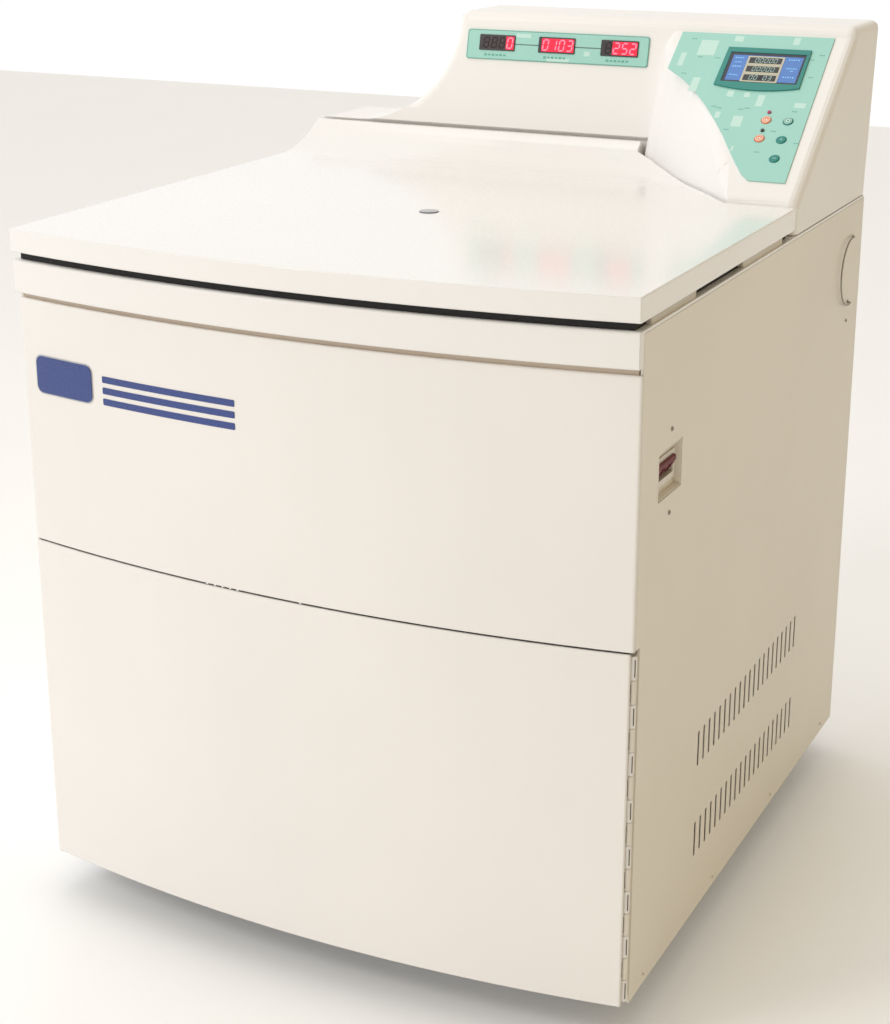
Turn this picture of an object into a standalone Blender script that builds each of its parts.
"""Floor-standing laboratory centrifuge, modelled in metres with +Z up.

The cabinet stands on the XY plane. X runs to the right, Y to the back. The rotor
turns about a vertical axis at (ROTOR_X, ROTOR_Y). Every sub-part is one object.
"""
import math

import bmesh
import bpy
from mathutils import Matrix, Vector

# Cabinet
WIDTH = 0.700
HALF_W = WIDTH / 2
HALF_D = 0.3745
BOW = 0.033                      # how far the front bulges at the middle
SKIRT = 0.045                    # floor to the lower edge of the panels
PANEL_TOP = 0.744
DECK_LOW = 0.7443
DECK_TOP = 0.7473
RIM_LOW = 0.7127
UPPER_HIGH = 0.7054
RIM_OVERHANG = 0.0076
DOOR_LOW = 0.049
DOOR_TOP = 0.4325
UPPER_LOW = 0.4350
SHEET = 0.003
VENT_SKIN = 0.0009
DOOR_RIGHT = 0.3466
TOUCH = 0.0003                   # gap kept between pieces that rest on each other
FOOTPRINT_SHIFT = (-0.00175, 0.00925, 0.0)   # centres the footprint on the origin
ARC_STEPS = 20

# Lid
LID_LOW = 0.756
LID_TOP = 0.780
LID_OVERHANG = 0.009
LID_SIDE = 0.3508
LID_WALL = 0.003
LID_BEVEL = 0.004
LINER_LOW = LID_LOW + 0.0005
LINER_TOP = LINER_LOW + 0.0020
COVE_START = 0.155               # where the flat top starts to curve up towards the hinge
COVE_RADIUS = 0.165
HINGE_Y = 0.256
KNUCKLE = 0.010                  # radius of the lid's round nose, which meets the cove smoothly
HINGE_Z = LID_TOP + COVE_RADIUS - math.sqrt((COVE_RADIUS + KNUCKLE) ** 2 - (HINGE_Y - COVE_START) ** 2)

# Console
CONSOLE_LOW = 0.7488
CONSOLE_TOP = 0.955
CONSOLE_WALL = 0.0050
CONSOLE_ROUND = 0.0100           # radius of the console's moulded edges
LOW_DECK_TOP = 0.8137
SWOOP_RADIUS = 0.135
SWOOP_END_X = -0.1605
WING_FOOT = (0.085, 0.782)       # (y, z) where the sloping key face starts
WING_SLOPE = math.radians(38.0)
WING_PATH = ((0.107, 0.243), (0.1810, 0.1870), (0.273, 0.083))
WING_DRAFT = math.tan(math.radians(13.0))
FACE_FOOT = (0.2620, 0.8160)     # (y, z) at the foot of the steep display face
FACE_HEAD = (0.2915, 0.9470)

# Rotor chamber
ROTOR_X = 0.0
ROTOR_Y = -0.110
BOWL_RADIUS = 0.2115
BOWL_WALL = 0.0015
BOWL_LOW = 0.4613
FLOOR_LOW = 0.455
FLOOR_TOP = 0.461
ROTOR_BORES = 6
BORE_TILT = math.radians(25.0)

# Lower compartment
BASE_LOW = 0.100
BASE_TOP = 0.106
FOOT_X = 0.250
FOOT_Y = 0.270
WHEEL_RADIUS = 0.0375
FAN_X = 0.050
FAN_Z = 0.255
FAN_Y = 0.300

# Door hinge
PIN_X = 0.3465
PIN_Y = -0.3660
PIN_RADIUS = 0.0020
BARREL_RADIUS = 0.0042
KNUCKLES = 15

# Keys, as (x, distance up the sloping face)
FILM_CURVE = [(0.1400, 0.1960), (0.1630, 0.1805), (0.1850, 0.1605), (0.2040, 0.1395), (0.2220, 0.1170),
              (0.2380, 0.0945), (0.2520, 0.0730), (0.2640, 0.0550), (0.2760, 0.0385), (0.2860, 0.0300)]
KEY_PLACES = ((0.2815, 0.1225), (0.2815, 0.0937), (0.3070, 0.1225), (0.3070, 0.0937), (0.3070, 0.0647))
KEY_RADIUS = 0.0058
KEY_GAP = 0.0004

PARTS = "laboratory_centrifuge"
CUTTERS = "cutters"


def start_scene():
    for obj in list(bpy.data.objects):
        bpy.data.objects.remove(obj)
    for name in (PARTS, CUTTERS):
        collection = bpy.data.collections.new(name)
        bpy.context.scene.collection.children.link(collection)


def make_material(name, colour, roughness, metallic=0.0):
    material = bpy.data.materials.new(name)
    material.use_nodes = True
    shader = material.node_tree.nodes["Principled BSDF"]
    shader.inputs["Base Color"].default_value = (*colour, 1.0)
    shader.inputs["Roughness"].default_value = roughness
    shader.inputs["Metallic"].default_value = metallic
    return material


PALETTE = {
    "cream_coat": ((0.80, 0.74, 0.66), 0.45, 0.0),
    "lid_white": ((0.86, 0.82, 0.77), 0.25, 0.0),
    "console_plastic": ((0.82, 0.77, 0.70), 0.40, 0.0),
    "steel": ((0.60, 0.61, 0.62), 0.35, 1.0),
    "stainless": ((0.70, 0.70, 0.71), 0.25, 1.0),
    "aluminium": ((0.72, 0.73, 0.74), 0.40, 1.0),
    "cast_iron": ((0.10, 0.11, 0.12), 0.60, 0.3),
    "copper": ((0.72, 0.38, 0.22), 0.35, 1.0),
    "black_rubber": ((0.015, 0.015, 0.016), 0.75, 0.0),
    "black_plastic": ((0.03, 0.03, 0.032), 0.50, 0.0),
    "smoked_glass": ((0.02, 0.02, 0.025), 0.08, 0.0),
    "mint_film": ((0.40, 0.74, 0.62), 0.35, 0.0),
    "teal_plastic": ((0.01, 0.22, 0.20), 0.40, 0.0),
    "orange_plastic": ((0.90, 0.35, 0.10), 0.40, 0.0),
    "lcd_blue": ((0.03, 0.17, 0.40), 0.15, 0.0),
    "red_plastic": ((0.55, 0.03, 0.02), 0.40, 0.0),
    "board_green": ((0.02, 0.18, 0.07), 0.50, 0.0),
}


def add(name, mesh, material=None, cutter=False):
    obj = bpy.data.objects.new(name, mesh)
    if cutter:
        bpy.data.collections[CUTTERS].objects.link(obj)
        obj.hide_render = True
        obj.display_type = "WIRE"
        return obj
    bpy.data.collections[PARTS].objects.link(obj)
    found = bpy.data.materials.get(material)
    if found is None:
        found = make_material(material, *PALETTE[material])
    obj.data.materials.append(found)
    return obj


def mesh_from(name, bm):
    bmesh.ops.recalc_face_normals(bm, faces=bm.faces)
    mesh = bpy.data.meshes.new(name)
    bm.to_mesh(mesh)
    bm.free()
    return mesh


def box(name, low, high, material=None, cutter=False):
    bm = bmesh.new()
    size = Vector(high) - Vector(low)
    middle = (Vector(high) + Vector(low)) / 2
    bmesh.ops.create_cube(bm, size=1.0, matrix=Matrix.Translation(middle) @ Matrix.Diagonal((*size, 1.0)))
    return add(name, mesh_from(name, bm), material, cutter)


def boxes(name, ranges):
    """One cutter made of several boxes that don't touch, each given as (low, high)."""
    bm = bmesh.new()
    for low, high in ranges:
        size = Vector(high) - Vector(low)
        middle = (Vector(high) + Vector(low)) / 2
        place = Matrix.Translation(middle) @ Matrix.Diagonal((*size, 1.0))
        bmesh.ops.create_cube(bm, size=1.0, matrix=place)
    return add(name, mesh_from(name, bm), cutter=True)


AXIS_TURN = {
    "X": Matrix.Rotation(math.radians(90), 4, "Y"),
    "Y": Matrix.Rotation(math.radians(-90), 4, "X"),
    "Z": Matrix.Identity(4),
}


def rod(name, start, length, radius, axis="Z", sides=16, material=None, cutter=False):
    """A cylinder that starts at a point and runs along +axis."""
    bm = bmesh.new()
    turn = AXIS_TURN[axis]
    place = Matrix.Translation(Vector(start)) @ turn @ Matrix.Translation((0, 0, length / 2))
    bmesh.ops.create_cone(bm, cap_ends=True, segments=sides, radius1=radius, radius2=radius,
                          depth=length, matrix=place)
    obj = add(name, mesh_from(name, bm), material, cutter)
    smooth(obj)
    return obj


def prism(name, outline, axis, low, high, material=None, cutter=False):
    """A flat outline pushed along an axis: (x, y) for Z, (y, z) for X, (x, z) for Y."""
    bm = bmesh.new()
    lifts = {"Z": lambda a, b: (a, b, low), "X": lambda a, b: (low, a, b), "Y": lambda a, b: (a, low, b)}
    lift = lifts[axis]
    face = bm.faces.new([bm.verts.new(lift(a, b)) for a, b in outline])
    pushed = bmesh.ops.extrude_face_region(bm, geom=[face])
    step = {"Z": (0, 0, high - low), "X": (high - low, 0, 0), "Y": (0, high - low, 0)}[axis]
    moved = [item for item in pushed["geom"] if isinstance(item, bmesh.types.BMVert)]
    bmesh.ops.translate(bm, verts=moved, vec=step)
    return add(name, mesh_from(name, bm), material, cutter)


def turned(name, profile, centre, steps, material=None, cutter=False, closed=True, axis="Z"):
    """A turned shape. The profile, in (radius, height), runs down its outer side."""
    mesh = bpy.data.meshes.new(name)
    points = [(radius, 0.0, height) for radius, height in profile]
    edges = [(i, i + 1) for i in range(len(points) - 1)]
    if closed:
        edges.append((len(points) - 1, 0))
    mesh.from_pydata(points, edges, [])
    obj = add(name, mesh, material, cutter)
    obj.location = centre
    obj.rotation_euler = AXIS_TURN[axis].to_euler()
    screw = obj.modifiers.new("turn", "SCREW")
    screw.steps = steps
    screw.render_steps = steps
    screw.use_merge_vertices = True
    screw.merge_threshold = 0.00001
    screw.use_smooth_shade = True
    return obj


def smooth(obj, angle=35.0):
    obj.data.shade_smooth()
    obj.data.set_sharp_from_angle(angle=math.radians(angle))


def combine(obj, other, operation):
    change = obj.modifiers.new(operation.lower(), "BOOLEAN")
    change.operation = operation
    change.object = other
    change.solver = "EXACT"


def cut(obj, *others):
    for other in others:
        combine(obj, other, "DIFFERENCE")


def join(obj, *others):
    for other in others:
        combine(obj, other, "UNION")


def bevel(obj, width, segments=2, angle=40.0):
    change = obj.modifiers.new("edges", "BEVEL")
    change.width = width
    change.segments = segments
    change.limit_method = "ANGLE"
    change.angle_limit = math.radians(angle)


def round_over(obj, width, segments, wanted):
    """Rounds the sharp convex edges whose middle point is wanted; earlier modifiers are applied first."""
    bpy.context.view_layer.update()
    graph = bpy.context.evaluated_depsgraph_get()
    mesh = bpy.data.meshes.new_from_object(obj.evaluated_get(graph))
    obj.modifiers.clear()
    obj.data = mesh
    bm = bmesh.new()
    bm.from_mesh(mesh)
    bmesh.ops.remove_doubles(bm, verts=bm.verts, dist=1e-5)
    bmesh.ops.dissolve_limit(bm, angle_limit=math.radians(1.0), verts=bm.verts, edges=bm.edges)
    picked = []
    for edge in bm.edges:
        middle = (edge.verts[0].co + edge.verts[1].co) / 2
        if edge.is_convex and edge.calc_face_angle(0.0) > math.radians(28.0) and wanted(middle):
            picked.append(edge)
    bmesh.ops.bevel(bm, geom=picked, offset=width, segments=segments, profile=0.5, affect="EDGES",
                    clamp_overlap=False)
    bm.to_mesh(mesh)
    bm.free()


def hang(name, point, *children):
    """Parents the pieces of one moving body to an empty on its joint axis."""
    axis = bpy.data.objects.new(name, None)
    axis.location = point
    axis.empty_display_size = 0.02
    bpy.data.collections[PARTS].objects.link(axis)
    bpy.context.view_layer.update()
    for child in children:
        child.parent = axis
        child.matrix_parent_inverse = Matrix.Translation(-Vector(point))


def arc(centre, radius, start, end, steps):
    """Points on a circle between two angles in degrees."""
    points = []
    for i in range(steps + 1):
        angle = math.radians(start + (end - start) * i / steps)
        points.append((centre[0] + radius * math.cos(angle), centre[1] + radius * math.sin(angle)))
    return points


def front_y(x, overhang=0.0):
    """The bowed front line of the cabinet."""
    return -HALF_D - overhang - BOW * (1 - (2 * x / WIDTH) ** 2)


def front_line(half, overhang):
    """Points along the bowed front from the left to the right."""
    xs = [-half + 2 * half * i / ARC_STEPS for i in range(ARC_STEPS + 1)]
    return [(x, front_y(x, overhang)) for x in xs]


def inset(outline, distance):
    """Moves every side of a closed anticlockwise outline inwards by the same distance."""
    moved = []
    count = len(outline)
    for i, here in enumerate(outline):
        before = Vector(outline[i - 1])
        after = Vector(outline[(i + 1) % count])
        middle = Vector(here)
        into = (middle - before).normalized()
        away = (after - middle).normalized()
        corner = (Vector((-into.y, into.x)) + Vector((-away.y, away.x))).normalized()
        reach = distance / corner.dot(Vector((-into.y, into.x)))
        moved.append(tuple(middle + corner * reach))
    return moved


def wing_path(steps, shift=0.0, reach=1.0):
    """The curve where the wing's left wall meets the lid, moved outwards by shift."""
    first, middle, last = (Vector(point) for point in WING_PATH)
    control = 2 * middle - (first + last) / 2
    points = []
    for i in range(steps + 1):
        t = reach * i / steps
        spot = first * (1 - t) ** 2 + control * 2 * t * (1 - t) + last * t ** 2
        along = ((control - first) * (1 - t) + (last - control) * t).normalized()
        points.append(tuple(spot + Vector((along.y, -along.x)) * shift))
    return points


# ---------------------------------------------------------------- base and floor contact

def build_base():
    rib = 0.012
    flange = 0.080
    half = 0.3410
    outline = [
        (-half, flange), (-half + rib, flange), (-half + rib, BASE_LOW),
        (half - rib, BASE_LOW), (half - rib, flange), (half, flange),
        (half, BASE_TOP), (-half, BASE_TOP),
    ]
    prism("base_frame", outline, "Y", -0.3580, 0.3680, "steel")


def build_feet():
    top = BASE_LOW - TOUCH
    profile = [(0, top), (0.014, top), (0.014, 0.086), (0.006, 0.086), (0.006, 0.014),
               (0.022, 0.009), (0.024, 0.0), (0, 0.0)]
    for side, x in (("left", -FOOT_X), ("right", FOOT_X)):
        turned("levelling_foot_" + side, profile, (x, -FOOT_Y, 0), 16, "steel", closed=False)


def build_castors():
    half_wheel = 0.011
    cheek = 0.004
    axle = 0.0040
    top = BASE_LOW - TOUCH
    for side, x in (("left", -FOOT_X), ("right", FOOT_X)):
        inner = half_wheel + 0.0010
        outer = inner + cheek
        half_y = 0.022
        fork = box("castor_fork_" + side, (x - outer, FOOT_Y - half_y, WHEEL_RADIUS - 0.010),
                   (x + outer, FOOT_Y + half_y, top), "steel")
        gap = box("castor_gap_" + side, (x - inner, FOOT_Y - 0.1, -0.01),
                  (x + inner, FOOT_Y + 0.1, top - 0.005), cutter=True)
        pin = rod("castor_pin_" + side, (x - outer + 0.001, FOOT_Y, WHEEL_RADIUS), 2 * outer - 0.002,
                  axle, "X", 16, cutter=True)
        cut(fork, gap)
        join(fork, pin)
        profile = [(WHEEL_RADIUS - 0.002, half_wheel), (WHEEL_RADIUS, half_wheel - 0.002),
                   (WHEEL_RADIUS, -half_wheel + 0.002), (WHEEL_RADIUS - 0.002, -half_wheel),
                   (axle + 0.0002, -half_wheel), (axle + 0.0002, half_wheel)]
        turned("castor_wheel_" + side, profile, (x, FOOT_Y, WHEEL_RADIUS), 24, "black_rubber", axis="X")


# ---------------------------------------------------------------- cabinet panels

def vent_slots(name, x):
    """Two rows of upright slots through a side panel."""
    pitch = 0.0173
    half_slot = 0.0025
    ranges = []
    for low, high in ((0.117, 0.157), (0.225, 0.265)):
        for i in range(21):
            y = 0.001 + (i - 10) * pitch
            ranges.append(((x - 0.01, y - half_slot, low), (x + 0.01, y + half_slot, high)))
    return boxes(name, ranges)


def vent_pockets(name, low_x, high_x):
    """Thins the panel from the inside around both rows of slots."""
    heights = ((0.112, 0.162), (0.220, 0.270))
    return boxes(name, [((low_x, -0.1820, low), (high_x, 0.1840, high)) for low, high in heights])


def build_side_panels():
    front = -0.3712
    low = (-HALF_W, front, SKIRT)
    high = (-HALF_W + SHEET, HALF_D - SHEET - TOUCH, PANEL_TOP)
    left = box("side_panel_left", low, high, "cream_coat")
    pockets = vent_pockets("pockets_left", -HALF_W + VENT_SKIN, -HALF_W + SHEET + 0.005)
    cut(left, pockets, vent_slots("vents_left", -HALF_W))
    notch = -0.3585
    back = HALF_D - SHEET - TOUCH
    outline = [(notch, SKIRT), (back, SKIRT), (back, PANEL_TOP), (front, PANEL_TOP),
               (front, UPPER_LOW), (notch, UPPER_LOW)]
    right = prism("side_panel_right", outline, "X", HALF_W - SHEET, HALF_W, "cream_coat")
    window = box("breaker_window", (0.34, -0.3225, 0.5675), (0.36, -0.2595, 0.6165), cutter=True)
    pockets = vent_pockets("pockets_right", HALF_W - SHEET - 0.005, HALF_W - VENT_SKIN)
    cut(right, pockets, vent_slots("vents_right", HALF_W), window)


def build_rear_panel():
    panel = box("rear_panel", (-HALF_W, HALF_D - SHEET, SKIRT), (HALF_W, HALF_D, PANEL_TOP), "cream_coat")
    ranges = []
    for i in range(14):
        z = 0.140 + i * 0.0165
        ranges.append(((FAN_X - 0.115, 0.36, z), (FAN_X + 0.115, 0.39, z + 0.006)))
    gland = rod("gland_hole", (-0.250, 0.36, 0.200), 0.03, 0.0105, "Y", 20, cutter=True)
    cut(panel, boxes("rear_vents", ranges), gland)


def bowed_sheet(name, low, high, material, half=HALF_W, first=0.0, last=SHEET):
    """A sheet that follows the bowed front; first and last are its depths behind the front's skin."""
    line = front_line(half, 0.0)
    outer = [(x, y + first) for x, y in line]
    inner = [(x, y + last) for x, y in reversed(line)]
    return prism(name, outer + inner, "Z", low, high, material, cutter=not material)


def on_skin(point):
    return point.y < front_y(point.x, 0.0) + 0.0005


def build_front():
    upper = bowed_sheet("front_upper_panel", UPPER_LOW, UPPER_HIGH, "cream_coat")
    round_over(upper, 0.0020, 3, lambda point: on_skin(point) and point.z > UPPER_LOW + 0.01)
    door = bowed_sheet("front_door", DOOR_LOW, DOOR_TOP, "cream_coat")
    cut(door, box("door_trim", (DOOR_RIGHT, -0.42, 0.0), (0.36, -0.36, 0.6), cutter=True))
    round_over(door, 0.0014, 3, lambda point: on_skin(point) and point.z > DOOR_LOW + 0.01)
    return door


def build_deck():
    back = HALF_D - SHEET - TOUCH
    plate = front_line(HALF_W, RIM_OVERHANG) + [(HALF_W, back), (-HALF_W, back)]
    deck = prism("top_deck", plate, "Z", DECK_LOW, DECK_TOP, "cream_coat")
    outer = front_line(HALF_W, RIM_OVERHANG)
    inner = [(x, y + RIM_OVERHANG + SHEET) for x, y in reversed(outer)]
    rim = prism("deck_rim", outer + inner, "Z", RIM_LOW, DECK_LOW + 0.001, cutter=True)
    hole = rod("deck_hole", (ROTOR_X, ROTOR_Y, 0.73), 0.03, BOWL_RADIUS + 0.0012, "Z", 40, cutter=True)
    slot = box("latch_slot", (-0.012, -0.374, 0.73), (0.012, -0.337, 0.76), cutter=True)
    cable = rod("cable_hole", (0.0, 0.33, 0.73), 0.03, 0.02, "Z", 16, cutter=True)
    web = bowed_sheet("deck_web", RIM_LOW + 0.001, DECK_LOW + 0.001, None, HALF_W - 0.004, 0.0020, 0.0052)
    skirt = bowed_sheet("deck_skirt", 0.6990, RIM_LOW + 0.002, None, HALF_W - 0.004, 0.0036, 0.0052)
    join(deck, rim, web, skirt)
    round_over(deck, 0.0035, 3, lambda point: point.z > DECK_TOP - 0.0005 and point.y < -0.3725)
    cut(deck, hole, slot, cable)


# ---------------------------------------------------------------- door hinge

def knuckle_ranges():
    length = (DOOR_TOP - DOOR_LOW - 0.006) / KNUCKLES
    start = DOOR_LOW + 0.003
    return [(start + i * length + 0.0002, start + (i + 1) * length - 0.0002) for i in range(KNUCKLES)]


def build_door_hinge(door):
    """A piano hinge: the pin is fixed in the cabinet leaf, and the door's knuckles turn on it."""
    clear = BARREL_RADIUS + 0.0006
    low = DOOR_LOW + 0.003
    high = DOOR_TOP - 0.003
    fixed = box("door_hinge_fixed", (0.3440, PIN_Y + clear, low), (0.3464, -0.3350, high), "steel")
    moving = box("door_hinge_leaf", (0.3150, -0.3711, low), (PIN_X - clear, -0.3691, high), "steel")
    for i, (bottom, top) in enumerate(knuckle_ranges()):
        barrel = arc((PIN_X, PIN_Y), BARREL_RADIUS, 0, 324, 9)
        name = "knuckle_%d" % (i + 1)
        round_part = prism(name, barrel, "Z", bottom, top, cutter=True)
        if i % 2 == 1:
            tab = box(name + "_tab", (0.3442, PIN_Y, bottom), (0.3462, PIN_Y + clear + 0.002, top),
                      cutter=True)
            join(fixed, tab, round_part)
        else:
            tab = box(name + "_tab", (PIN_X - clear - 0.002, -0.3710, bottom), (PIN_X, -0.3692, top),
                      cutter=True)
            join(moving, tab, round_part)
    pin = rod("hinge_pin", (PIN_X, PIN_Y, low + 0.001), high - low - 0.002, PIN_RADIUS, "Z", 8, cutter=True)
    bore = rod("hinge_bore", (PIN_X, PIN_Y, low - 0.01), high - low + 0.02, PIN_RADIUS + 0.0003, "Z", 8,
               cutter=True)
    join(fixed, pin)
    cut(moving, bore)
    hang("door_axis", (PIN_X, PIN_Y, 0.0), door, moving)


# ---------------------------------------------------------------- lid

def clip_path(path, rear):
    """Drops the points of a path beyond a line across the lid, and ends the path on that line."""
    kept = [point for point in path if point[1] < rear - 0.012]
    outside = Vector([point for point in path if point[1] >= rear - 0.012][-1])
    inside = Vector(kept[0])
    share = (rear - inside.y) / (outside.y - inside.y)
    return [tuple(inside.lerp(outside, share))] + kept


def lid_outline(rear, clear=0.0045):
    """The lid from above, anticlockwise, cut away along the wing of the console."""
    path = wing_path(6, clear)
    if rear < path[0][1]:
        path = clip_path(path, rear)
        edge = []
    else:
        edge = [(path[0][0] - 0.004, rear)]
    foot_y = WING_FOOT[0] - clear
    front = front_line(LID_SIDE, LID_OVERHANG)
    right = [(LID_SIDE, foot_y)]
    notch = [point for point in reversed(path) if point[1] > foot_y + 0.003]
    corner = [(WING_PATH[2][0] - 0.004, foot_y)]
    left = [(-LID_SIDE, rear)]
    return front + right + corner + notch + edge + left


def lid_profile(wall, front, low, rear_open):
    """The lid from the right side, in (y, z): flat top, cove, and a round nose on the hinge axis."""
    cove_centre = (COVE_START, LID_TOP + COVE_RADIUS)
    end = math.degrees(math.asin((HINGE_Y - COVE_START) / (COVE_RADIUS + KNUCKLE)))
    cove = arc(cove_centre, COVE_RADIUS + wall, -90, -90 + end, 8)
    nose = arc((HINGE_Y, HINGE_Z), KNUCKLE - wall, 90 + end, 5, 7)[1:]
    tail = [(rear_open, HINGE_Z), (rear_open, low)]
    return [(front, low), (front, LID_TOP - wall)] + cove + nose + tail


def build_lid():
    nose_y = HINGE_Y + KNUCKLE
    shell = prism("lid_shell", lid_outline(nose_y + 0.01), "Z", 0.735, 0.83, "lid_white")
    profile = lid_profile(0.0, -0.5, 0.73, nose_y)
    side = prism("lid_side_shape", [(y, z) for y, z in profile], "X", -0.5, 0.5, cutter=True)
    combine(shell, side, "INTERSECT")
    bevel(shell, LID_BEVEL, 2)
    trim = box("lid_trim", (-0.5, -0.6, 0.70), (0.5, 0.5, LID_LOW), cutter=True)
    inner_outline = inset(lid_outline(0.32), LID_WALL)
    inner = prism("lid_inner", inner_outline, "Z", 0.72, 0.84, cutter=True)
    inner_side = prism("lid_inner_side", lid_profile(LID_WALL, -0.5, 0.71, 0.40), "X", -0.5, 0.5,
                       cutter=True)
    combine(inner, inner_side, "INTERSECT")
    port = rod("port_hole", (ROTOR_X, ROTOR_Y, 0.70), 0.12, 0.0083, "Z", 20, cutter=True)
    cut(shell, trim, inner, port)
    smooth(shell, 30)

    liner_rear = 0.236
    liner = prism("lid_liner", inset(lid_outline(liner_rear + 0.0035), 0.0035), "Z", LINER_LOW,
                  LINER_TOP, "stainless")
    cut(liner, port)
    glass = turned("sight_port", [(0, 0.7812), (0.0104, 0.7809), (0.0110, LID_TOP + TOUCH),
                                  (0.0080, LID_TOP + TOUCH), (0.0080, LINER_LOW), (0, LINER_LOW)],
                   (ROTOR_X, ROTOR_Y, 0), 20, "smoked_glass", closed=False)
    return [shell, liner, glass]


def build_lid_hinges():
    """Torsion hinges: a pillar on the deck carries a cross pin, and the lid's arm turns on it."""
    pin_radius = 0.0030
    arms = []
    for side, x in (("left", -0.270), ("right", 0.040)):
        outline = [(HINGE_Y - 0.0035, DECK_TOP + TOUCH), (HINGE_Y + 0.0035, DECK_TOP + TOUCH)]
        outline += arc((HINGE_Y, HINGE_Z), 0.0055, -50, 230, 10)
        pillar = prism("lid_hinge_pillar_" + side, outline, "X", x - 0.010, x + 0.010, "steel")
        pin = rod("pillar_pin_" + side, (x - 0.0195, HINGE_Y, HINGE_Z), 0.039, pin_radius, "X", 16,
                  cutter=True)
        foot = box("pillar_foot_" + side, (x - 0.020, HINGE_Y - 0.0035, DECK_TOP + TOUCH),
                   (x + 0.020, HINGE_Y + 0.0100, DECK_TOP + 0.0035), cutter=True)
        join(pillar, pin, foot)
        top = LINER_TOP + TOUCH
        side_shape = [(0.180, top), (0.232, top)]
        side_shape += arc((HINGE_Y, HINGE_Z), 0.0060, -50, 115, 8) + [(0.225, 0.7900), (0.180, 0.7680)]
        arm = prism("lid_hinge_arm_" + side, side_shape, "X", x - 0.0190, x - 0.0140, "steel")
        cheek = prism("arm_cheek_" + side, side_shape, "X", x + 0.0140, x + 0.0190, cutter=True)
        web = box("arm_web_" + side, (x - 0.0180, 0.182, top), (x + 0.0180, 0.228, top + 0.004),
                  cutter=True)
        bore = rod("arm_bore_" + side, (x - 0.03, HINGE_Y, HINGE_Z), 0.06, pin_radius + 0.0002, "X", 16,
                   cutter=True)
        join(arm, web, cheek)
        cut(arm, bore)
        arms.append(arm)
    return arms


def build_seals():
    top = LID_LOW - TOUCH
    gasket = prism("lid_gasket", inset(lid_outline(0.228), 0.008), "Z", DECK_TOP + TOUCH, top,
                   "black_rubber")
    hollow = prism("gasket_hollow", inset(lid_outline(0.228), 0.018), "Z", 0.73, 0.78, cutter=True)
    cut(gasket, hollow)
    turned("chamber_seal", [(0.2150, 0.7525), (0.2250, 0.7525), (0.2270, DECK_TOP + TOUCH),
                            (0.2130, DECK_TOP + TOUCH)],
           (ROTOR_X, ROTOR_Y, 0), 36, "black_rubber")


def build_latch():
    """A striker on the lid and a motor-driven hook under the deck, shown released."""
    pivot = Vector((-0.3720, 0.6900))
    release = Matrix.Rotation(math.radians(35.0), 2)
    top = LINER_LOW - TOUCH
    outline = [(-0.3620, top), (-0.3620, 0.7340), (-0.3530, 0.7340), (-0.3530, 0.7200), (-0.3620, 0.7200),
               (-0.3620, 0.7120), (-0.3420, 0.7120), (-0.3420, top)]
    striker = prism("lid_striker", outline, "X", -0.0060, 0.0060, "steel")
    body = box("latch_body", (-0.0140, -0.3840, 0.6760), (0.0140, -0.3640, DECK_LOW - TOUCH),
               "black_plastic")
    gap = box("latch_gap", (-0.0080, -0.40, 0.6810), (0.0080, -0.35, 0.76), cutter=True)
    pin = rod("latch_pin", (-0.0100, *pivot), 0.0200, 0.0030, "X", 12, cutter=True)
    cut(body, gap)
    join(body, pin)
    engaged = arc((0.0, 0.0), 0.0065, 160, 350, 8) + [(0.0065, 0.0325), (0.0180, 0.0325), (0.0180, 0.0400),
                                                    (-0.0060, 0.0400)]
    outline = [tuple(pivot + release @ Vector(point)) for point in engaged]
    hook = prism("latch_hook", outline, "X", -0.0050, 0.0050, "steel")
    bore = rod("hook_bore", (-0.02, *pivot), 0.04, 0.0032, "X", 12, cutter=True)
    cut(hook, bore)
    hang("latch_axis", (0.0, *pivot), hook)
    return striker


# ---------------------------------------------------------------- console

def console_front(shrink, low):
    """The console from the front, in (x, z): low deck, concave swoop, tall block."""
    swoop_centre = (SWOOP_END_X - SWOOP_RADIUS, LOW_DECK_TOP + SWOOP_RADIUS)
    swoop = arc(swoop_centre, SWOOP_RADIUS + shrink, -90, 0, 12)
    left = -HALF_W + shrink
    right = HALF_W - shrink
    top = CONSOLE_TOP - shrink
    return [(left, low), (right, low), (right, top), (SWOOP_END_X + shrink, top)] + swoop[::-1] + [
        (left, LOW_DECK_TOP - shrink)]


def console_side():
    """The console from the side, in (y, z), anticlockwise."""
    back_low = HALF_D + 0.0015
    lean = (FACE_HEAD[0] - FACE_FOOT[0]) / (FACE_HEAD[1] - FACE_FOOT[1])
    top_front = FACE_FOOT[0] + lean * (CONSOLE_TOP - FACE_FOOT[1])
    return [(0.2690, 0.60), (back_low - 0.0155, 0.60), (0.3991, CONSOLE_TOP), (top_front, CONSOLE_TOP),
            FACE_FOOT, (0.2690, 0.8110)]


def wing_side():
    """The wing's section, in (y, z): a low foot and the sloping key face."""
    foot_y, foot_z = WING_FOOT
    head_y = foot_y + (CONSOLE_TOP - foot_z) / math.tan(WING_SLOPE)
    return [(foot_y, 0.60), (0.345, 0.60), (0.345, 0.950), (0.3150, 0.950), (head_y, CONSOLE_TOP),
            (foot_y, foot_z)]


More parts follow.
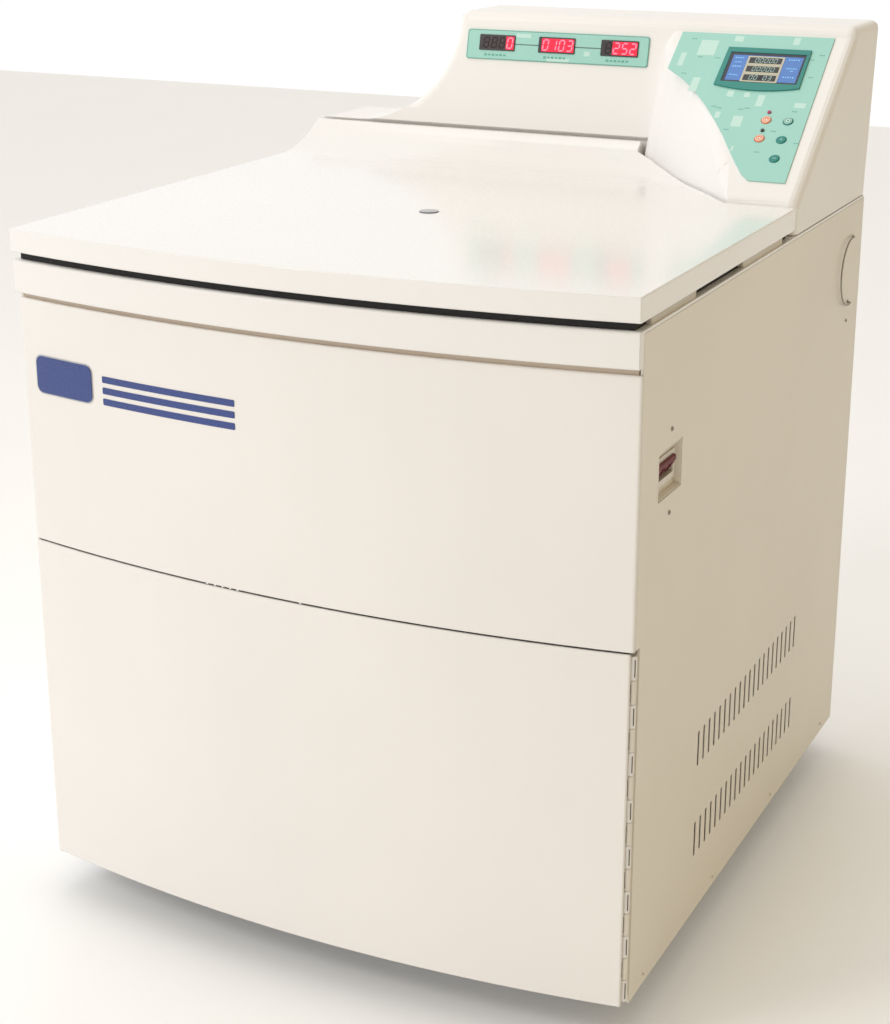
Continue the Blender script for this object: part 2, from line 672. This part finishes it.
def wing_block(name, shrink, low, high, material=None):
    """The wing from above, with its left wall leaning back as it rises."""
    bm = bmesh.new()
    rings = []
    for z in (low, WING_FOOT[1], high):
        lean = max(0.0, z - WING_FOOT[1]) * WING_DRAFT + shrink
        path = wing_path(8, -lean, 1.12)
        outline = [(HALF_W - shrink, 0.0), (HALF_W - shrink, 0.345), (path[0][0], 0.345)] + path
        outline.append((path[-1][0], 0.0))
        rings.append([bm.verts.new((x, y, z)) for x, y in outline])
    count = len(rings[0])
    bm.faces.new(rings[0])
    bm.faces.new(rings[-1])
    for below, above in zip(rings, rings[1:]):
        for i in range(count):
            after = (i + 1) % count
            bm.faces.new((below[i], below[after], above[after], above[i]))
    return add(name, mesh_from(name, bm), material, cutter=material is None)


def console_frame():
    """The frame of the sloping key face: origin at its foot, X right, Y up the slope."""
    foot_y, foot_z = WING_FOOT
    turn = Matrix.Rotation(WING_SLOPE, 4, "X")
    return Matrix.Translation((0.0, foot_y, foot_z)) @ turn


def display_frame():
    """The frame of the steep display face: origin at its foot, X right, Y up the face."""
    slope = math.atan2(FACE_HEAD[1] - FACE_FOOT[1], FACE_HEAD[0] - FACE_FOOT[0])
    return Matrix.Translation((0.0, *FACE_FOOT)) @ Matrix.Rotation(slope, 4, "X")


def outer_edge(point):
    """The console's moulded edges: everything but its foot."""
    on_foot = point.z < 0.7500 or (point.y > 0.2500 and point.z < 0.8130 and point.x < 0.1)
    under_face = point.z < 0.8300 and 0.2550 < point.y < 0.2700
    wing_corner = point.y < 0.1200 and point.x < 0.2800
    return not (on_foot or under_face or wing_corner)


def build_console():
    housing = prism("console_housing", console_side(), "X", -HALF_W, HALF_W, "console_plastic")
    front_shape = prism("console_front_shape", console_front(0.0, 0.55), "Y", 0.2, 0.5, cutter=True)
    combine(housing, front_shape, "INTERSECT")
    wing = wing_block("console_wing", 0.0, 0.61, 0.99)
    wing_shape = prism("console_wing_shape", wing_side(), "X", 0.0, 0.4, cutter=True)
    combine(wing, wing_shape, "INTERSECT")
    join(housing, wing)
    trim = box("console_trim", (-0.5, 0.0, 0.5), (0.5, 0.5, CONSOLE_LOW), cutter=True)
    cut(housing, trim)
    round_over(housing, CONSOLE_ROUND, 4, outer_edge)
    hollow = prism("console_hollow", inset(console_side(), CONSOLE_WALL), "X", -0.4, 0.4, cutter=True)
    hollow_front = prism("console_hollow_front", console_front(CONSOLE_WALL, 0.5), "Y", 0.2, 0.5,
                         cutter=True)
    combine(hollow, hollow_front, "INTERSECT")
    wing_hollow = wing_block("wing_hollow", CONSOLE_WALL, 0.62, 0.98)
    inner_side = prism("wing_hollow_side", inset(wing_side(), CONSOLE_WALL), "X", 0.0, 0.5, cutter=True)
    combine(wing_hollow, inner_side, "INTERSECT")
    cut(housing, hollow, wing_hollow)
    for i, (x, y) in enumerate(((-0.336, 0.281), (-0.336, 0.363), (0.336, 0.363), (0.336, 0.098))):
        pad = box("console_pad_%d" % (i + 1), (x - 0.011, y - 0.010, DECK_TOP + TOUCH),
                  (x + 0.011, y + 0.010, 0.7600), cutter=True)
        join(housing, pad)
    smooth(housing, 30)
    return housing


def key_holes():
    """Round holes for the keys, one cutter each, in the frame of the key face."""
    holes = []
    for i, (x, up) in enumerate(KEY_PLACES):
        hole = rod("key_hole_%d" % (i + 1), (0, 0, -0.02), 0.04, KEY_RADIUS + KEY_GAP, "Z", 16, cutter=True)
        hole.matrix_world = console_frame() @ Matrix.Translation((x, up, 0.0))
        holes.append(hole)
    return holes


def build_panel_parts(housing):
    face = console_frame()
    holes = key_holes()
    film_high = TOUCH + 0.0010
    outline = FILM_CURVE + [(0.3286, 0.0300), (0.3260, 0.2580), (0.1400, 0.2580)]
    film = prism("control_membrane", outline, "Z", TOUCH, film_high, "mint_film")
    film.matrix_world = face
    cut(film, *holes)
    cut(housing, *holes)

    low = film_high + TOUCH
    lower_edge = arc((0.2551, 0.3705), 0.2041, -104.5, -75.5, 10)
    bezel = prism("lcd_bezel", lower_edge + [(0.3050, 0.2345), (0.2050, 0.2345)], "Z", low, low + 0.0016,
                  "teal_plastic")
    bezel.matrix_world = face
    window = box("lcd_window", (0.2105, 0.1785, -0.01), (0.3015, 0.2268, 0.01), cutter=True)
    window.matrix_world = face
    cut(bezel, window)
    screen = box("lcd_screen", (0.2108, 0.1788, low), (0.3012, 0.2265, low + 0.0010), "lcd_blue")
    screen.matrix_world = face

    colours = ("orange_plastic", "orange_plastic", "teal_plastic", "teal_plastic", "teal_plastic")
    for i, (x, up) in enumerate(KEY_PLACES):
        top = film_high + 0.0012
        cap = [(0, top), (KEY_RADIUS - 0.0012, top), (KEY_RADIUS, top - 0.0008), (KEY_RADIUS, -0.0030),
               (0, -0.0030)]
        key = turned("key_%d" % (i + 1), cap, (0, 0, 0), 16, colours[i], closed=False)
        key.matrix_world = face @ Matrix.Translation((x, up, 0.0))

    for i, up in enumerate((0.1345, 0.1060)):
        colour = ("red_plastic", "black_plastic")[i]
        lamp = turned("indicator_%d" % (i + 1), [(0, 0.0018), (0.0019, 0.0014), (0.0025, 0.0), (0, 0.0)],
                      (0, 0, 0), 12, colour, closed=False)
        lamp.matrix_world = face @ Matrix.Translation((0.2817, up, low))

    outline = []
    corners = ((0.0945, 0.1165), (-0.1420, 0.1165), (-0.1420, 0.0875), (0.0945, 0.0875))
    for i, corner in enumerate(corners):
        outline += arc(corner, 0.0030, 90 * i, 90 * i + 90, 4)
    strip = prism("led_strip", outline, "Z", TOUCH, TOUCH + 0.0012, "mint_film")
    strip.matrix_world = display_frame()

    board = box("control_board", (-0.130, 0.030, -0.0180), (0.090, 0.105, -0.0164), "board_green")
    for i, (x, up) in enumerate(((-0.095, 0.045), (-0.020, 0.055), (0.055, 0.045))):
        chip = box("chip_%d" % (i + 1), (x - 0.015, up - 0.010, -0.0170), (x + 0.015, up + 0.010, -0.0080),
                   cutter=True)
        chip.matrix_world = display_frame()
        join(board, chip)
    board.matrix_world = display_frame()


# ---------------------------------------------------------------- breaker and cord hook on the right side

def build_breaker():
    """A three-pole breaker whose nose stands in a shallow tray let into the right side."""
    back = 0.3430
    low_y, high_y = -0.3225 + TOUCH, -0.2595 - TOUCH
    low_z, high_z = 0.5675 + TOUCH, 0.6165 - TOUCH
    wall = 0.0014
    tray = box("breaker_recess", (back - 0.0016, low_y, low_z), (HALF_W - 0.0008, high_y, high_z),
               "cream_coat")
    flange = box("breaker_flange", (0.3440, -0.3350, 0.5420), (HALF_W - SHEET - TOUCH, -0.2470, 0.6420),
                 cutter=True)
    hollow = box("breaker_hollow", (back, low_y + wall, low_z + wall), (0.36, high_y - wall, high_z - wall),
                 cutter=True)
    window = box("breaker_window_cut", (0.33, -0.3180, 0.5758), (0.36, -0.2640, 0.6070), cutter=True)
    join(tray, flange)
    cut(tray, hollow, window)
    shoulder = back - 0.0016 - TOUCH
    body = box("breaker_body", (0.2900, -0.3200, 0.5600), (shoulder, -0.2620, 0.6240), "console_plastic")
    nose = box("breaker_nose", (shoulder - 0.001, -0.3177, 0.5771), (back + 0.0016, -0.2650, 0.6067),
               cutter=True)
    groove = box("toggle_groove", (0.3275, -0.3165, 0.5838), (0.36, -0.2695, 0.6002), cutter=True)
    join(body, nose)
    cut(body, groove)
    pivot = (0.3362, 0.5920)
    hub = arc(pivot, 0.0078, 95, 350, 12)
    outline = hub + [(0.3455, 0.5920), (0.3482, 0.5975), (0.3478, 0.6012), (0.3452, 0.6022),
                     (0.3449, 0.5999)]
    toggle = prism("breaker_toggle", outline, "Y", -0.3158, -0.2704, "red_plastic")
    gaps = [((0.30, y - 0.0058, 0.58), (0.36, y + 0.0058, 0.5965)) for y in (-0.3020, -0.2842)]
    cut(toggle, boxes("lever_gaps", gaps))
    hang("toggle_axis", (pivot[0], -0.2931, pivot[1]), toggle)


def build_cord_hook():
    centre = (0.3200, 0.6625)
    radius = 0.0415
    wire = 0.0010
    x = HALF_W + TOUCH + 0.0030
    curve = bpy.data.curves.new("cord_hook", "CURVE")
    curve.dimensions = "3D"
    curve.bevel_depth = wire
    curve.bevel_resolution = 2
    curve.use_fill_caps = True
    points = [(x, y, z) for y, z in arc(centre, radius, 78, 282, 16)]
    ends = [(HALF_W + TOUCH, y, z) for _, y, z in (points[0], points[-1])]
    route = [ends[0]] + points + [ends[1]]
    spline = curve.splines.new("POLY")
    spline.points.add(len(route) - 1)
    for point, place in zip(spline.points, route):
        point.co = (*place, 1.0)
    add("cord_hook", curve, "black_plastic")


# ---------------------------------------------------------------- chamber, motor and rotor

def build_chamber():
    floor = box("chamber_floor", (-0.3465, -0.3650, FLOOR_LOW), (0.3465, 0.2000, FLOOR_TOP), "steel")
    hole = rod("floor_hole", (ROTOR_X, ROTOR_Y, 0.44), 0.04, 0.0480, "Z", 24, cutter=True)
    cut(floor, hole)
    inner = BOWL_RADIUS - BOWL_WALL
    profile = [(BOWL_RADIUS, DECK_TOP), (BOWL_RADIUS, 0.5000), (0.1950, 0.4680), (0.1750, BOWL_LOW),
               (0.0480, BOWL_LOW), (0.0480, BOWL_LOW + BOWL_WALL), (0.1745, BOWL_LOW + BOWL_WALL),
               (0.1940, 0.4692), (inner, 0.5005), (inner, DECK_TOP)]
    turned("chamber_bowl", profile, (ROTOR_X, ROTOR_Y, 0), 36, "stainless")
    low = FLOOR_TOP + TOUCH
    turned("armour_ring", [(0.2550, 0.6550), (0.2550, low), (0.2450, low), (0.2450, 0.6550)],
           (ROTOR_X, ROTOR_Y, 0), 32, "steel")
    curve = bpy.data.curves.new("evaporator_coil", "CURVE")
    curve.dimensions = "3D"
    curve.bevel_depth = 0.0040
    curve.bevel_resolution = 1
    curve.use_fill_caps = True
    turns = 3
    per_turn = 20
    pitch = 0.045
    coil = curve.splines.new("POLY")
    coil.points.add(turns * per_turn)
    for i, point in enumerate(coil.points):
        angle = 2 * math.pi * i / per_turn
        reach = BOWL_RADIUS + 0.0085
        x = ROTOR_X + reach * math.cos(angle)
        y = ROTOR_Y + reach * math.sin(angle)
        point.co = (x, y, 0.506 + pitch * i / per_turn, 1.0)
    add("evaporator_coil", curve, "copper")


def build_drive():
    top = FLOOR_LOW - TOUCH
    profile = [(0.0, 0.4000), (0.0125, 0.4000), (0.0125, 0.4680), (0.0200, 0.4680), (0.0420, 0.4560),
               (0.0420, top), (0.1050, top), (0.1050, top - 0.010), (0.0850, top - 0.014)]
    for i in range(2):
        z = top - 0.050 - i * 0.060
        profile += [(0.0850, z), (0.0800, z - 0.004), (0.0800, z - 0.020), (0.0850, z - 0.024)]
    profile += [(0.0850, 0.2620), (0.0600, 0.2500), (0.0, 0.2500)]
    turned("drive_motor", profile, (ROTOR_X, ROTOR_Y, 0), 20, "cast_iron", closed=False)
    turned("spindle", [(0, 0.5420), (0.0100, 0.5400), (0.0120, 0.4980), (0.0120, 0.4020), (0, 0.4020)],
           (ROTOR_X, ROTOR_Y, 0), 16, "steel", closed=False)


def build_rotor():
    """A fixed-angle rotor with six tilted bottle bores, its cover, and the cover's knob."""
    centre = (ROTOR_X, ROTOR_Y, 0)
    profile = [(0.0, 0.6280), (0.0080, 0.6280), (0.0080, 0.6500), (0.0480, 0.6500), (0.1280, 0.6500),
               (0.1360, 0.6440), (0.1860, 0.5560), (0.1860, 0.5300), (0.1760, 0.5120), (0.1500, 0.5060),
               (0.0900, 0.5150), (0.0500, 0.4950), (0.0128, 0.4950), (0.0125, 0.5430), (0.0, 0.5440)]
    rotor = turned("rotor_body", profile, centre, 30, "aluminium", closed=False)
    for i in range(ROTOR_BORES):
        bore = rod("rotor_bore_%d" % (i + 1), (0, 0, -0.104), 0.150, 0.0300, "Z", 16, cutter=True)
        around = Matrix.Rotation(2 * math.pi * (i + 0.5) / ROTOR_BORES, 4, "Z")
        tilt = Matrix.Rotation(-BORE_TILT, 4, "Y")
        place = Matrix.Translation(centre) @ around @ Matrix.Translation((0.0900, 0, 0.6500)) @ tilt
        bore.matrix_world = place
        cut(rotor, bore)
    low = 0.6500 + TOUCH
    cover = [(0.0270, 0.6620), (0.1200, 0.6600), (0.1330, 0.6540), (0.1330, low), (0.0081, low),
             (0.0081, 0.6620)]
    turned("rotor_cover", cover, centre, 30, "aluminium")
    knob = [(0, 0.6900), (0.0180, 0.6900), (0.0220, 0.6860), (0.0220, 0.6720), (0.0160, 0.6680),
            (0.0160, 0.6620 + TOUCH), (0.0075, 0.6620 + TOUCH), (0.0075, 0.6320), (0, 0.6320)]
    turned("rotor_knob", knob, centre, 20, "black_plastic", closed=False)


# ---------------------------------------------------------------- cooling and power

def build_cooling():
    centre = (-0.200, 0.190, 0)
    low = BASE_TOP + TOUCH
    pot = [(0, 0.2750), (0.0300, 0.2720), (0.0620, 0.2580), (0.0720, 0.2350), (0.0720, 0.2000),
           (0.0760, 0.1970), (0.0760, 0.1900), (0.0720, 0.1870), (0.0720, 0.1480), (0.0600, 0.1250),
           (0, 0.1200)]
    compressor = turned("compressor", pot, centre, 24, "cast_iron", closed=False)
    plate = box("compressor_plate", (-0.280, 0.110, low), (-0.120, 0.270, low + 0.006), cutter=True)
    neck = rod("compressor_neck", (-0.200, 0.190, low + 0.003), 0.030, 0.040, "Z", 16, cutter=True)
    join(compressor, neck, plate)

    fins = 22
    width = 0.240
    pitch = width / fins
    outline = []
    for i in range(fins):
        x = FAN_X - width / 2 + i * pitch
        edge = x + pitch * 0.35
        outline += [(x, 0.3300), (edge, 0.3300), (edge, 0.3480), (x + pitch, 0.3480)]
    outline[-1] = (FAN_X + width / 2, 0.3480)
    outline += [(FAN_X + width / 2, 0.3600), (FAN_X - width / 2, 0.3600)]
    prism("condenser", outline, "Z", BASE_TOP + 0.012, 0.3900, "aluminium")

    shroud = box("fan_shroud", (FAN_X - 0.120, 0.3160, low), (FAN_X + 0.120, 0.3280, 0.3900),
                 "black_plastic")
    throat = rod("fan_throat", (FAN_X, 0.30, FAN_Z), 0.05, 0.1000, "Y", 32, cutter=True)
    motor = rod("fan_motor", (FAN_X, 0.3170, FAN_Z), 0.0100, 0.0240, "Y", 20, cutter=True)
    pin = rod("fan_pin", (FAN_X, FAN_Y - 0.002, FAN_Z), 0.0200, 0.0040, "Y", 12, cutter=True)
    cut(shroud, throat)
    join(shroud, motor, pin)
    for i in range(3):
        arm = box("fan_arm_%d" % (i + 1), (-0.0040, -0.0020, 0.015), (0.0040, 0.0020, 0.104), cutter=True)
        turn = Matrix.Rotation(2 * math.pi * i / 3, 4, "Y")
        arm.matrix_world = Matrix.Translation((FAN_X, 0.3240, FAN_Z)) @ turn
        join(shroud, arm)
    fan = rod("fan", (FAN_X, FAN_Y - 0.0100, FAN_Z), 0.0200, 0.0230, "Y", 20, "black_plastic")
    for i in range(5):
        blade = box("fan_blade_%d" % (i + 1), (-0.0220, -0.0012, 0.0180), (0.0220, 0.0012, 0.0940),
                    cutter=True)
        turn = Matrix.Rotation(2 * math.pi * i / 5, 4, "Y")
        pitch_turn = Matrix.Rotation(math.radians(24), 4, "Z")
        blade.matrix_world = Matrix.Translation((FAN_X, FAN_Y, FAN_Z)) @ turn @ pitch_turn
        join(fan, blade)
    bore = rod("fan_bore", (FAN_X, FAN_Y - 0.0050, FAN_Z), 0.0300, 0.0042, "Y", 12, cutter=True)
    cut(fan, bore)
    hang("fan_axis", (FAN_X, FAN_Y, FAN_Z), fan)


def build_power():
    low = BASE_TOP + TOUCH
    fins = 12
    pitch = 0.014
    outline = [(0.110, -0.2300), (0.110, -0.3150)]
    for i in range(fins):
        x = 0.110 + i * pitch
        edge = x + pitch * 0.4
        outline += [(x, -0.3300), (edge, -0.3300), (edge, -0.3150), (x + pitch, -0.3150)]
    far = 0.110 + fins * pitch
    outline = outline[:1] + outline[2:-1] + [(far, -0.3150), (far, -0.2300)]
    prism("inverter_box", outline, "Z", low, 0.3300, "aluminium")
    gland = [(0, 0.022), (0.0060, 0.022), (0.0100, 0.017), (0.0130, 0.011), (0.0150, 0.009),
             (0.0150, TOUCH), (0.0100, TOUCH), (0.0100, -0.012), (0, -0.012)]
    turned("mains_gland", gland, (-0.250, HALF_D, 0.200), 18, "black_plastic", closed=False, axis="Y")


def centre_on_footprint():
    bpy.context.view_layer.update()
    for obj in bpy.data.objects:
        if obj.parent is None:
            obj.matrix_world = Matrix.Translation(FOOTPRINT_SHIFT) @ obj.matrix_world


def build():
    start_scene()
    build_base()
    build_feet()
    build_castors()
    build_side_panels()
    build_rear_panel()
    door = build_front()
    build_deck()
    build_door_hinge(door)
    lid_pieces = build_lid() + build_lid_hinges() + [build_latch()]
    hang("lid_axis", (0.0, HINGE_Y, HINGE_Z), *lid_pieces)
    build_seals()
    housing = build_console()
    build_panel_parts(housing)
    build_breaker()
    build_cord_hook()
    build_chamber()
    build_drive()
    build_rotor()
    build_cooling()
    build_power()
    centre_on_footprint()


build()
